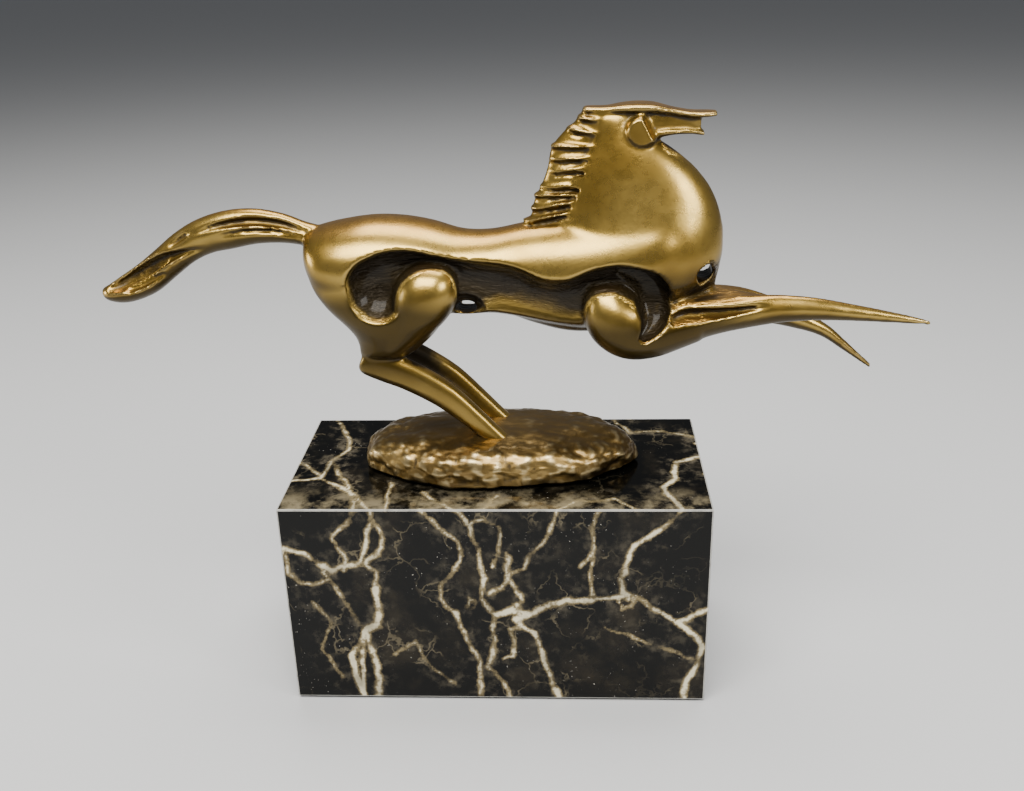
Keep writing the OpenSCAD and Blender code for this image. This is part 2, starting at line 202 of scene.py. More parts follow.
body = {
    "trunk": [
        (-64.6, 0, 161.5, 4, 3.5), (-63, 0, 160.5, 11, 8), (-58.5, 0, 158, 16, 12.4),
        (-50, 0, 157, 19, 15.2),
        (-40, 0, 157, 19.8, 16.4), (-30, 0, 156.5, 19.6, 16.5), (-20, 0, 155.5, 18, 15.7),
        (-10, 0, 153.4, 16.2, 14.8), (0, 0, 153.5, 15.6, 14.5), (10, 0, 153.6, 16.4, 16.3),
        (20, 0, 153.4, 18, 18.4), (32, 0, 153.6, 19.4, 20.2), (45, 0, 156, 19.8, 21),
        (57, 0, 159, 18, 19.5),
        (67, 0, 161.5, 13, 15.5), (74, 0, 163, 7.5, 11), (78.4, 0, 164, 2.5, 5)],
    "neck": [
        (49, 0, 150, 17, 26, 90), (49, 0, 158, 18, 29.4, 90), (49.6, 0, 166, 16.6, 28.8, 90),
        (49.6, 0, 174, 14, 27.4, 90), (48.6, 0, 182, 11.6, 24.8, 90), (47, 0, 189, 9.6, 20.6, 90),
        (45, 0, 195, 7.8, 15.2, 90), (42, 0, 200.5, 6, 9.6, 90), (40, 0, 206.3, 4.4, 7.4, 90)],
    "haunch": [
        (-38.2, -9.2, 126, 4.6, 9, 90), (-35.8, -9.4, 129.5, 6, 11, 90),
        (-34.2, -9.7, 133.5, 7.4, 13.6, 90),
        (-34.2, -10, 138, 8.6, 17, 90), (-35.3, -10, 143, 9.4, 20.8, 90), (-36.4, -9.6, 149, 9.9, 24, 90),
        (-37.4, -9, 155, 9.8, 24.8, 90), (-36, -8, 161, 8, 22, 90)],
    "keel": [(73, 0, 143, 5, 3.4, 90), (73.6, 0, 149, 4, 3.2, 84), (74.4, 0, 155, 4.4, 3.6, 86),
             (74.4, 0, 163, 6, 3.8, 90), (73, 0, 170, 6, 3, 95)],
    "core": [
        (-20, 0, 150, 6, 10), (-8, 0, 151.5, 6, 10), (4, 0, 150.5, 8.2, 12), (14, 0, 149, 9.8, 14.2),
        (26, 0, 147.5, 10.8, 15.8), (38, 0, 147, 11, 15), (50, 0, 150, 10.5, 14), (60, 0, 152, 8, 10)],
    "bowl": ((-38.8, -24, 151.9), (11, 14.8, 12.5), (20, 8, -18)),
    "band": [
        (-45, -22, 155, 5, 4.4), (-38, -21.5, 156.6, 10, 8.6), (-28, -20.5, 157.2, 11.5, 9),
        (-18, -19.5, 154.2, 11.5, 9.8), (-8, -18.5, 150.9, 11, 11.5), (2, -18.5, 148.8, 10.5, 12.8),
        (10, -19, 146.4, 10.5, 12.8),
        (18, -20.5, 143.3, 10.5, 12.6), (26, -21.5, 143.8, 11, 12), (34, -22, 146.8, 11.5, 12.4),
        (43, -22, 148.7, 11.5, 12), (52, -21.5, 147.2, 11, 11), (58, -20.5, 146, 9.5, 8.6),
        (62.4, -19, 144, 5, 4.4)],
    "chest": [(54, 0, 150, 15, 10), (61, 0, 149.6, 13.4, 8), (67, 0, 149.2, 10.4, 6.2),
              (72, 0, 149.8, 6, 4.6), (75.6, 0, 151.4, 3, 3)],
    "thigh": [
        (-20.2, -12, 159.4, 1.4, 1.8, 90), (-20.4, -12, 158.7, 3.7, 4.6, 90),
        (-20.8, -12, 157, 6.4, 7.6, 90), (-21.2, -12.1, 154.4, 8.4, 9.7, 90),
        (-21.8, -12.2, 150.8, 9.7, 10.9, 90),
        (-22.7, -12.2, 146.4, 9.9, 11, 90), (-24.6, -12, 141.2, 9.2, 10, 90),
        (-27.8, -11.2, 136.2, 8, 8.6, 90),
        (-31.4, -10.4, 131.6, 6.8, 7, 90), (-34.6, -9.8, 128, 5.4, 5.4, 90), (-36.4, -9.4, 126, 3, 3, 90)],
    "pit": ((-7.4, -16.6, 144), (8, 12.4, 5.2), (0, 14, 10)),
}

legs = {
    "shoulder": [
        (37.6, -12, 151.6, 3, 3, -84), (38.2, -12.4, 150, 6, 6, -80), (39.6, -13, 145, 8.8, 9, -72),
        (42.6, -13.2, 139.6, 9.8, 10.6, -52), (48, -12.9, 135.6, 9.2, 10.2, -22),
        (55, -12.2, 135, 8.2, 9, 4),
        (62, -11.5, 136.4, 7.2, 8, 12), (70, -10.6, 138, 6.2, 6.8, 10)],
    "right": [
        (58, -12, 135.6, 7, 8, 12), (66, -11, 137.6, 6.2, 7.2, 10), (76, -10.2, 139.4, 5.2, 6.2, 8),
        (86, -9.5, 140.8, 4.4, 5.8, 5), (97, -9, 141.6, 3.8, 5, 2), (109, -8.8, 141.4, 3.2, 4.1, -2),
        (121, -8.5, 140, 2.6, 3.1, -6), (133, -8.2, 138.3, 1.9, 2.2, -8), (144, -8, 136.6, 1.3, 1.3, -9),
        (149, -8, 135.6, 0.8, 0.8, -9)],
    "left": [
        (58, 12, 135.6, 7, 8, 12), (66, 11, 137.4, 6.2, 7.2, 8), (76, 10.2, 138.6, 5.2, 6, 2),
        (86, 9.5, 138, 4.4, 5.8, -8), (96, 9, 135.6, 3.8, 5.1, -18), (106, 9, 132.2, 3.2, 3.8, -27),
        (117, 9, 127.5, 2.5, 2.5, -38), (125, 9, 121.4, 1.9, 1.7, -42), (131, 9, 116.6, 1.3, 1.2, -40),
        (135.4, 9, 113, 0.8, 0.8, -38)],
    "roof": [
        (63, -2.6, 143.4, 11.4, 2, 3), (71, -3.4, 144, 11.4, 1.7, 3), (79, -4.6, 144.4, 9.8, 1.4, 2),
        (87, -7, 144.8, 6.2, 1.1, 1), (94, -9, 145.2, 2.6, 0.7, 0), (99, -9.4, 145.4, 0.8, 0.4, 0)],
    "roofLeft": [
        (66, 5, 143.6, 4, 1.8, 2), (76, 6, 143.8, 4, 1.5, -2), (86, 8, 142.4, 2.4, 1.3, -10),
        (95, 9, 140.2, 1, 0.8, -16)],
    "groove": [
        (60, -18, 140.4, 2.4, 1.6, 20), (64.4, -17.6, 141.6, 5, 2.4, 12), (71, -17, 141.8, 5.6, 2.3, 2),
        (79, -15.8, 142.2, 4.6, 1.7, 4), (87, -14.2, 143, 2.8, 1, 4), (94, -12.8, 143.6, 1.2, 0.4, 2)],
    "crescent": [
        (42, -22, 157, 10, 2.2, -8), (47.6, -22, 155, 12.6, 4.4, -25), (52.4, -22, 151.4, 13.4, 6.2, -45),
        (55, -21.6, 146, 13, 6.4, -74), (54.8, -20.8, 140.8, 10.5, 4.8, -100),
        (52.8, -20, 137.2, 6.5, 3, -122),
        (50, -19, 134.4, 2.6, 1.4, -135)],
    "cannon": [
        (-46.8, -9, 124, 2.2, 2.4, -24), (-44.6, -9, 123.4, 3.4, 4.4, -24), (-38, -9, 121.6, 4, 5.6, -26),
        (-29, -9, 117.6, 3.9, 5.4, -33), (-17.5, -9, 110.4, 3.6, 4.9, -39), (-7, -9, 100.9, 3.3, 4, -44),
        (-2, -9, 96, 3.2, 3.6, -45), (4, -9, 90, 3.2, 3.5, -45)],
}

head = {
    "plate": [
        (31, 0, 207.6, 2, 0.8), (33, 0, 207.6, 3.4, 0.9), (39, 0, 207.6, 3.8, 0.9), (43, 0, 207.9, 5, 1.2),
        (48, 0, 208.1, 6, 1.4), (54, 0, 207.9, 5.8, 1.3), (60, 0, 206.7, 4.4, 1), (66, 0, 205.7, 4.2, 0.9),
        (71, 0, 205.5, 4.4, 0.9), (74.4, 0, 205.6, 2.8, 0.8)],
    "skull": [(36, 0, 203.5, 3.6, 3.6), (42, 0, 203, 4.2, 4.6), (50, 0, 203, 4.4, 4.8),
              (57, 0, 203, 3.2, 3.8),
              (64, 0, 203, 2.4, 3), (69.4, 0, 203, 2.4, 2.6)],
    "jaw": [(48, 0, 199.4, 4.4, 2.4), (54, 0, 199.7, 4.8, 1.9), (60, 0, 200.2, 4.2, 1.2),
            (66, 0, 200.2, 3.6, 1),
            (70.6, 0, 199.4, 3.2, 0.8)],
    "cheek": ((50.2, -4.7, 200.9), (5.6, 5, 5.3), (0, 0, 0)),
    "maneCore": [
        (20, 0, 169, 5, 9.6, 90), (22.6, 0, 173, 5, 9, 90), (24.6, 0, 178, 4.8, 9.8, 90),
        (27, 0, 183, 4.6, 9.8, 90),
        (29, 0, 189, 4.5, 9.6, 90), (30.6, 0, 195, 4.4, 10, 90), (33.4, 0, 200, 4.2, 9.2, 90),
        (36.4, 0, 204.5, 4, 7.2, 90), (37.8, 0, 207.6, 3.6, 6.6, 90)],
    # locks: back edge x, height, front x, height there
    "locks": [(11, 171.2, 28, 174.6), (13.4, 175.4, 31, 178.4), (14.6, 179.8, 34, 181.6),
              (16.6, 182.6, 38, 184.4),
              (19.2, 187.8, 37, 189.6), (19.9, 191.8, 36.6, 192.8), (20.4, 196, 36, 196.2),
              (25.8, 201.6, 37, 200.4),
              (29.2, 205, 37, 204.6)],
}

tail = {
    "ribbon": [
        (-138.2, -0.5, 147.2, 1.8, 1.6, 4), (-135.6, -0.5, 147, 4, 3, 8), (-130, -0.5, 148.2, 5.4, 4.8, 20),
        (-122, 0, 151.9, 5.8, 5.8, 32), (-114.5, 0.5, 157.4, 5, 5.8, 38), (-107, 0.5, 163, 4.2, 6, 36),
        (-99, 0.3, 167, 4.4, 6.4, 22), (-90, 0, 169.2, 4.6, 6.8, 6), (-81, 0, 170.2, 4.6, 6.2, -2),
        (-72, 0, 169.4, 4.2, 5.2, -10), (-65, 0, 167.6, 4, 4.2, -14), (-58, 0, 165.8, 4, 4, -14)],
    # grooves: start and end as a share of the tail from its tip, height from -1 to 1, depth, half height
    "grooves": [(0.52, 0.97, 0.4, 3, 1.5), (0.58, 0.95, -0.1, 2.4, 0.8), (0.42, 0.53, 0.55, 2.2, 0.8)],
    "endHollow": [
        (-135.2, -5.6, 149, 2.8, 1, 24), (-129.6, -6, 151.2, 5.4, 2.5, 28),
        (-121.4, -6.2, 155.4, 6.4, 2.9, 34),
        (-113.4, -5.6, 159.8, 5, 2.1, 30), (-105, -4.6, 162.4, 2.8, 0.9, 14),
        (-98, -4.4, 163.6, 1.2, 0.4, 8)],
    "lowerHollow": [
        (-128, -6, 148.8, 2.6, 0.8, 20), (-121, -6.2, 151.6, 3.6, 1.3, 32),
        (-114, -5.6, 155, 2.6, 0.8, 30)],
}


# building the horse

print("body shapes")
thigh = loft("thigh", body["thigh"])
thighLeft = mirrored(thigh, "thighLeft")
thighCore = loft("thighCore", [(x, y, z, w - 0.5, h - 0.5, tilt) for x, y, z, w, h, tilt in body["thigh"]])
shoulder = loft("shoulder", legs["shoulder"])
shoulderLeft = mirrored(shoulder, "shoulderLeft")
haunch = loft("haunch", body["haunch"])
skin = joinAll("skin", [loft("trunk", body["trunk"]), loft("neck", body["neck"]),
                        loft("keel", body["keel"]),
                        loft("chest", body["chest"]),
                        haunch, mirrored(haunch, "haunchLeft"), copyOf(thigh, "thighA"),
                        copyOf(thighLeft, "thighB")])
voxel(skin, 0.9, 14, 0.6)

print("hollows")
hollow = joinAll("hollow", [loft("band", body["band"], 32), egg("bowl", *body["bowl"])])
voxel(hollow, 0.7, 4, 0.5)
cut(hollow, thighCore)
pit = egg("pit", *body["pit"])
hollow = joinAll("hollow", [hollow, mirrored(hollow, "hollowLeft")])
uncarved = joinAll("uncarved", [copyOf(skin, "uncarved"), loft("ribbon", tail["ribbon"])])
cut(skin, hollow)

parts = [skin, loft("core", body["core"]), shoulder, shoulderLeft, copyOf(thigh, "thighA"),
         copyOf(thighLeft, "thighB")]
cannon = loft("cannon", legs["cannon"], keen=0.8)
parts += [cannon, mirrored(cannon, "cannonLeft")]
parts += [loft("rightFore", legs["right"], keen=1.15), loft("leftFore", legs["left"], keen=1.15),
          loft("roof", legs["roof"], keen=0.6), loft("roofLeft", legs["roofLeft"], keen=0.7)]
horse = joinAll("horse", parts)
voxel(horse, 0.7, 2, 0.5)

for tool in (pit, mirrored(pit, "pitLeft")):
    cut(tool, thigh if tool is pit else thighLeft, keep=True)
    cut(horse, tool)
cut(horse, loft("groove", legs["groove"], 28))
crescent = voxel(loft("crescent", legs["crescent"], 32, keen=0.65), 0.6, 2)
cut(horse, joinAll("crescent", [crescent, mirrored(crescent, "crescentLeft")]))
flankHole = rod("flankHole", (-9.2, -30, 141.9), (-9.2, 30, 141.9), 2.1)
flankHole.data.transform(Matrix.Translation((-9.2 * mm, 0, 0)) @ Matrix.Scale(1.8, 4, (1, 0, 0))
                         @ Matrix.Translation((9.2 * mm, 0, 0)))
cut(horse, flankHole)
chestHole = rod("chestHole", (71.6, -30, 154), (72.4, 30, 154), 3)
cut(horse, chestHole)
flare = egg("flare", (70.8, -7.4, 155), (3.4, 4, 4.8))
cut(horse, joinAll("flare", [flare, mirrored(flare, "flareLeft")]))

print("head, mane and tail")
cheek = egg("cheek", *head["cheek"])
cut(cheek, block("face", (40, -14, 190), (60, -7.7, 212)))
muzzle = block("muzzle", (0, -14, -10), (12, 4, 10))
muzzle.data.transform(Matrix.Translation((55.4 * mm, 0, 202.4 * mm)) @ Matrix.Rotation(math.radians(-28), 4,
                                                                                       "Y")
                      @ Matrix.Rotation(math.radians(-25), 4, "Z"))
cut(cheek, muzzle)
headParts = [loft("plate", head["plate"], 32, keen=0.55), loft("skull", head["skull"], keen=0.8),
             loft("jaw", head["jaw"], 32, keen=0.8), cheek, mirrored(cheek, "cheekLeft")]
mane = loft("maneCore", head["maneCore"], keen=1.3)
lockParts, slits = [mane], []
for i, (x, z, frontX, frontZ) in enumerate(head["locks"]):
    run = frontX - x
    slope = math.degrees(math.atan2(frontZ - z, run))
    lockParts.append(loft("lock", [
        (x, 0, z, 0.8, 0.5, slope), (x + run * 0.12, 0, z + 0.2, 3, 0.75, slope),
        (x + run * 0.45, 0, (z + frontZ) / 2 + 0.2, 6 - 0.12 * i, 0.75, slope),
        (x + run * 0.8, 0, frontZ, 8 - 0.4 * i, 0.6, slope),
        (frontX, 0, frontZ, 8.2 - 0.5 * i, 0.3, slope)], 24, 3, 0.75))
    for side in (-1, 1):
        depth = 5.4 - 0.12 * i
        slits.append(loft("slit", [
            (x + 1, side * 3, z - 1.5, 1.6, 0.5, slope),
            (x + run * 0.3, side * depth, z + (frontZ - z) * 0.3 - 1.6, 2, 0.8, slope),
            (x + run * 0.6, side * (depth + 1), z + (frontZ - z) * 0.6 - 1.5, 1.9, 0.7, slope),
            (x + run * 0.85, side * (depth + 1.4), frontZ - 1.1, 1.1, 0.3, slope)], 16, 3))
tailMain = loft("ribbon", tail["ribbon"])
for name in ("endHollow", "lowerHollow"):
    cut(tailMain, loft(name, tail[name], 24, keen=0.9))
for groove in tail["grooves"]:
    cut(tailMain, loft("groove", alongPath(tail["ribbon"], *groove), 24))
voxel(tailMain, 0.35, 12)
horse = joinAll("horse", [horse, tailMain] + headParts + lockParts)
voxel(horse, fine)
cut(horse, voxel(joinAll("slits", slits), 0.4))
voxel(horse, fine, 2, 0.5)
for tool in (thigh, thighLeft):
    bpy.data.objects.remove(tool)
print("horse", len(horse.data.polygons))


# how deep in a hollow and how raised each place is, for the painted hollow shade and the rubbed edges with
# painted highlight

def pointsOf(mesh):
    co = np.empty(len(mesh.vertices) * 3)
    mesh.vertices.foreach_get("co", co)
    return co.reshape(-1, 3)


def normalsOf(mesh):
    no = np.empty(len(mesh.vertices) * 3)
    mesh.vertex_normals.foreach_get("vector", no)
    return no.reshape(-1, 3)


def hollowness(mesh, rounds):  # above 0 in grooves, below 0 on edges, in millimetres
    co, no = pointsOf(mesh), normalsOf(mesh)
    ends = np.empty(len(mesh.edges) * 2, int)
    mesh.edges.foreach_get("vertices", ends)
    a, b = ends[0::2], ends[1::2]
    count = len(co)
    degree = np.maximum(np.bincount(ends, minlength=count), 1)
    soft = co.copy()
    for _ in range(rounds):
        soft = np.stack([(np.bincount(a, soft[b, i], count) + np.bincount(b, soft[a, i], count)) / degree
                         for i in range(3)], 1)
    return ((soft - co) * no).sum(1) / mm


def shelter(obj, grain, reach, rays=28):  # 0 in the open, 1 deep inside a hollow, on a coarse copy
    coarse = voxel(copyOf(obj, "coarse"), grain)
    mesh = coarse.data
    tree = BVHTree.FromPolygons([v.co for v in mesh.vertices], [p.vertices for p in mesh.polygons])
    golden = math.pi * (3 - math.sqrt(5))
    spread = [(math.sqrt(i / rays), i * golden, math.sqrt(1 - i / rays)) for i in range(rays)]
    kd = KDTree(len(mesh.vertices))
    values = []
    for v in mesh.vertices:
        n = v.normal
        t = n.orthogonal().normalized()
        u = n.cross(t)
        start = v.co + n * 0.4 * mm
        shut = 0.0
        for r, angle, up in spread:
            ray = t * (r * math.cos(angle)) + u * (r * math.sin(angle)) + n * up
            hit = tree.ray_cast(start, ray, reach * mm)
            if hit[0] is not None:
                shut += 1 - 0.5 * hit[3] / (reach * mm)
        values.append(shut / rays)
        kd.insert(v.co, v.index)
    kd.balance()
    bpy.data.objects.remove(coarse)
    return kd, values


def addShade(obj, name, values):
    data = obj.data.attributes.new(name, "FLOAT", "POINT")
    data.data.foreach_set("value", np.asarray(values, dtype=np.float32))


def fromNear(obj, kd, values, near=3):
    out = np.zeros(len(obj.data.vertices))
    for v in obj.data.vertices:
        found = kd.find_n(v.co, near)
        total = weight = 0.0
        for _, i, d in found:
            w = 1 / (d + 1e-6)
            total += values[i] * w
            weight += w
        out[v.index] = total / weight
    return out


def nearestPoints(mesh):
    kd = KDTree(len(mesh.vertices))
    for v in mesh.vertices:
        kd.insert(v.co, v.index)
    kd.balance()
    return kd


def depthUnder(mesh, cover):  # how far each point lies below the uncarved skin, in millimetres
    tree = BVHTree.FromPolygons([v.co for v in cover.data.vertices],
                                [p.vertices for p in cover.data.polygons])
    depth = np.zeros(len(mesh.vertices))
    for v in mesh.vertices:
        place, normal, _, gap = tree.find_nearest(v.co)
        if (v.co - place).dot(normal) < 0:
            depth[v.index] = gap / mm
    return depth


def shadeAll(whole, pieces, grain, reach, rounds, gain, cover=None):  # taken from the undivided casting
    kd, values = shelter(whole, grain, reach)
    # occlusion and depth below the uncarved skin set the hollow darkening: dark patina with painted shade
    deep = fromNear(whole, kd, values) * 1.7
    if cover:
        deep += np.clip((depthUnder(whole.data, cover) - 1) / 8, 0, 1) * 0.8
    deep = np.clip(deep, 0, 1)
    dip = np.clip(hollowness(whole.data, rounds) * gain, -1, 1)
    kd = nearestPoints(whole.data)
    for piece in pieces:
        near = np.array([kd.find(v.co)[1] for v in piece.data.vertices])
        addShade(piece, "shelter", deep[near])
        addShade(piece, "dip", dip[near])


def prism(name, corners, low=-40, high=40):  # a block through these x, z corners
    verts = [(x * mm, y * mm, z * mm) for y in (low, high) for x, z in corners]
    n = len(corners)
    faces = [tuple(range(n)), tuple(reversed(range(n, 2 * n)))]
    faces += [(i, i + n, (i + 1) % n + n, (i + 1) % n) for i in range(n)]
    mesh = bpy.data.meshes.new(name)
    mesh.from_pydata(verts, [], faces)
    obj = bpy.data.objects.new(name, mesh)
    bpy.context.scene.collection.objects.link(obj)
    only(obj)
    bpy.ops.object.mode_set(mode="EDIT")
    bpy.ops.mesh.select_all(action="SELECT")
    bpy.ops.mesh.normals_make_consistent(inside=False)
    bpy.ops.object.mode_set(mode="OBJECT")
    return obj


print("castings")
hindLegs = [(-60, 60), (-60, 131), (8, 131), (8, 60)]
foreLegs = [(66, 100), (66, 143.4), (75, 146.4), (160, 150), (160, 100)]
castings = {  # each casting's corners in x and z, and its side
    "tail_casting": ([(-150, 100), (-150, 220), (-63.4, 220), (-63.4, 100)], -40, 40),
    "right_hind_leg": (hindLegs, -40, 0),
    "left_hind_leg": (hindLegs, 0, 40),
    "right_foreleg": (foreLegs, -40, 0),
    "left_foreleg": (foreLegs, 0, 40),
    "mane_casting": ([(0, 170.6), (26, 170.6), (36, 202), (31.6, 206.4), (31.6, 215), (0, 215)], -40, 40),
    "head_casting": ([(28, 206), (36, 200.6), (62, 195), (90, 195), (90, 220), (28, 220)], -40, 40),
    "hindquarters": ([(-70, 100), (-70, 200), (17, 200), (17, 100)], -40, 40),
}
whole = copyOf(horse, "whole")
bronzePieces = {}
for node, (corners, low, high) in castings.items():
    tool = prism("tool", corners, low, high)
    bronzePieces[node] = keepInside(copyOf(horse, node + "_bronze"), tool)
    cut(horse, tool)
horse.name = "forequarters_bronze"
bronzePieces["forequarters"] = horse
shadeAll(whole, bronzePieces.values(), 1.5, 26, round(8 * (0.55 / fine) ** 2), 2.2, uncarved)
for helper in (whole, uncarved):
    bpy.data.objects.remove(helper)
print("horse", sum(len(piece.data.polygons) for piece in bronzePieces.values()))


# the bronze ground

ground = {
    "size": (50, 24.6), "waist": 82.6, "rise": 12.6, "foot": 2.6, "square": 0.62,
    "lumps": ((13, 1.2), (6.4, 0.9), (3.4, 0.42), (1.7, 0.1)),
    "hollow": ((0, 0, 80), (44.5, 20, 10.5)), "pad": ((-14, -15, 83), (14, 15, 100)), "post": 6.5,
    "bore": 3,
}

print("ground")
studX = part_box("fixing_studs")[1][0] / mm - 3
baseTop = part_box("marble_base")[1][2] / mm
soil = egg("ground_bronze", (0, 0, 0), (1, 1, 1), count=280)
for v in soil.data.vertices:
    p = v.co / mm
    out = math.hypot(p.x, p.y)
    angle = math.atan2(p.y, p.x)
    grow = max(out, 1e-6) ** ground["square"] / max(out, 1e-6)
    edge = 1 + 0.018 * math.sin(3 * angle + 0.4) + 0.014 * math.cos(7 * angle) + 0.008 * math.sin(13 * angle)
    x, y = p.x * grow * ground["size"][0] * edge, p.y * grow * ground["size"][1] * edge
    lift = ground["rise"] if p.z > 0 else -ground["foot"]
    v.co = (x * mm, y * mm, (ground["waist"] + lift * abs(p.z) ** ground["square"]) * mm)
for v, n in [(v, v.normal.copy()) for v in soil.data.vertices]:
    p = v.co / mm
    u = math.hypot(p.x / ground["size"][0], p.y / ground["size"][1])
    rim = 0.35 + 0.65 * min(1, max(0, (u - 0.5) / 0.35))
    push = 0
    for i, (size, depth) in enumerate(ground["lumps"]):
        q = Vector((p.x, p.y, p.z * 1.4)) / size + Vector((7.3, 2.1, 4.4)) * i
        wave = noise.noise(q)
        if i in (1, 2):
            wave = 0.55 - noise.voronoi(q)[0][0] * 1.1 + 0.4 * wave
        push += depth * wave * rim
    if p.z < baseTop + 0.2:
        push = 0
    place = p + n * push
    v.co = (place.x * mm, place.y * mm, max(place.z, baseTop) * mm)
hollow = egg("hollow", *ground["hollow"])
for x in (-studX, studX):
    cut(hollow, rod("post", (x, 0, 60), (x, 0, 110), ground["post"]))
cut(hollow, block("pad", *ground["pad"]))
soilWhole = copyOf(soil, "soilWhole")
cut(soil, hollow)
for x in (-studX, studX):
    cut(soil, rod("bore", (x, 0, 78), (x, 0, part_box("fixing_studs")[1][2] / mm + 0.2), ground["bore"]))
shadeAll(soilWhole, [soil], 1.3, 9, 5, 2.6)
bpy.data.objects.remove(soilWhole)
print("ground", len(soil.data.polygons))


# the marble block

# every vein: half its thickness, then its points across and up the front, or across and along the top
frontVeins = [
    (0.6, [(-48, 80), (-51, 74), (-57, 69), (-56, 65), (-53, 60), (-53, 55)]),
    (0.8, [(-43, 80), (-43, 73), (-45, 64), (-47, 59), (-52, 57), (-57, 55), (-61, 57), (-67, 62),
           (-75, 65)]),
    (0.6, [(-42, 75), (-38, 69), (-40, 63), (-45, 59), (-42, 55), (-42, 48)]),
    (1.2, [(-42, 48), (-43, 38), (-43, 33), (-48, 30), (-50, 24), (-53, 19), (-53, 11), (-50, 1)]),
    (0.6, [(-61, 55), (-57, 49), (-55, 43), (-52, 36), (-48, 31)]),
    (0.9, [(-47, 29), (-44, 16), (-45, 1)]),
    (0.8, [(-48, 28), (-50, 12), (-50, 1)]),
    (0.4, [(-75, 65), (-73, 55), (-69, 51), (-65, 50), (-60, 52)]),
    (0.5, [(-25, 80), (-18, 73), (-13, 68), (-12, 60), (-14, 55), (-19, 50), (-19, 44), (-15, 38)]),
    (0.8, [(-15, 38), (-13, 32), (-10, 24), (-6, 17), (-7, 9), (-6, 1)]),
    (0.6, [(-14, 80), (-8, 74), (-7, 68), (-5, 59), (-4, 52), (-5, 44), (1, 38), (-1, 31), (-1, 24),
           (-3, 15), (1, 8), (4, 1)]),
    (0.45, [(-8, 75), (-4, 76), (1, 74), (2, 69), (2, 63), (0, 58)]),
    (0.55, [(22, 80), (20, 74), (17, 66), (12, 62), (10, 57), (5, 54), (2, 48), (-2, 46)]),
    (0.5, [(5, 62), (4, 52), (8, 47), (10, 43), (9, 38)]),
    (1.3, [(1, 38), (6, 40), (11, 38), (8, 36)]),
    (0.9, [(8, 42), (9, 33), (14, 30), (16, 24), (18, 15), (20, 8), (22, 1)]),
    (0.5, [(8, 32), (5, 31), (6, 25), (5, 20), (2, 19)]),
    (0.4, [(-10, 44), (-7, 42), (-8, 39), (-11, 40), (-10, 44)]),
    (0.9, [(11, 37), (18, 41), (26, 44), (34, 44), (43, 45), (47, 46)]),
    (0.8, [(47, 46), (52, 43), (57, 40), (65, 35), (71, 38), (75, 40)]),
    (0.9, [(64, 80), (59, 74), (54, 70), (49, 66), (46, 59), (44, 53), (45, 47), (47, 44)]),
    (0.5, [(43, 43), (45, 40), (48, 41), (49, 43)]),
    (0.35, [(37, 80), (34, 73), (34, 64), (33, 57), (34, 52), (34, 46)]),
    (0.35, [(33, 62), (29, 57)]),
    (1.1, [(65, 35), (69, 31), (73, 24), (72, 16), (69, 11), (67, 1)]),
    (0.25, [(39, 32), (54, 26), (64, 22), (70, 19)]),
    (0.3, [(-66, 42), (-60, 34), (-64, 22), (-58, 10)]),
    (0.3, [(-38, 20), (-30, 26), (-24, 14), (-16, 8)]),
]
topVeins = [
    (0.9, [(65, -37.5), (59, -21), (64, -14), (65, -2), (75, 3)]),
    (0.6, [(-66, 34), (-60, 20), (-58, 10), (-63, 0), (-64, -14), (-72, -3)]),
    (0.6, [(-75, -17), (-64, -14), (-51, -25), (-48, -37.5)]),
    (0.6, [(-63, 0), (-51, -25), (-43, -37.5)]),
    (0.5, [(-38, -18), (-37, -37.5)]),
    (0.5, [(-26, -25), (-14, -37.5)]),
    (0.4, [(1, -27), (-4, -37.5)]),
    (0.5, [(44, 37.5), (50, 24), (62, 26), (75, 20)]),
    (0.5, [(48, -37.5), (42, -30), (30, -31), (22, -37.5)]),
]
marble = {"divide": (186, 94, 98), "arris": 0.6, "pocket": 11, "bore": 3.5}

print("marble")
low, high = (Vector(corner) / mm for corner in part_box("marble_base"))
middle, span = (low + high) / 2, high - low
sides = []
for axis in range(3):
    across, along = [i for i in range(3) if i != axis]
    for end in (-1, 1):
        bpy.ops.mesh.primitive_grid_add(x_subdivisions=marble["divide"][across],
                                        y_subdivisions=marble["divide"][along],
                                        size=1)
        side = bpy.context.active_object
        for v in side.data.vertices:
            place = Vector((0, 0, 0))
            place[axis] = middle[axis] + end * span[axis] / 2
            place[across] = middle[across] + v.co.x * span[across]
            place[along] = middle[along] + v.co.y * span[along]
            v.co = place * mm
        sides.append(side)
stone = joinAll("marble_block", sides)
bpy.ops.object.mode_set(mode="EDIT")
bpy.ops.mesh.select_all(action="SELECT")
bpy.ops.mesh.remove_doubles(threshold=0.02 * mm)
bpy.ops.mesh.normals_make_consistent(inside=False)
bpy.ops.mesh.select_all(action="DESELECT")
bpy.ops.mesh.edges_select_sharp(sharpness=math.radians(60))
bpy.ops.mesh.bevel(offset=marble["arris"] * mm, segments=2, affect="EDGES")
bpy.ops.object.mode_set(mode="OBJECT")
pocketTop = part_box("stud_washers")[1][2] / mm
for x in (-studX, studX):
    cut(stone, rod("pocket", (x, 0, -5), (x, 0, pocketTop), marble["pocket"], 48))
    cut(stone, rod("bore", (x, 0, 0), (x, 0, 90), marble["bore"], 32))

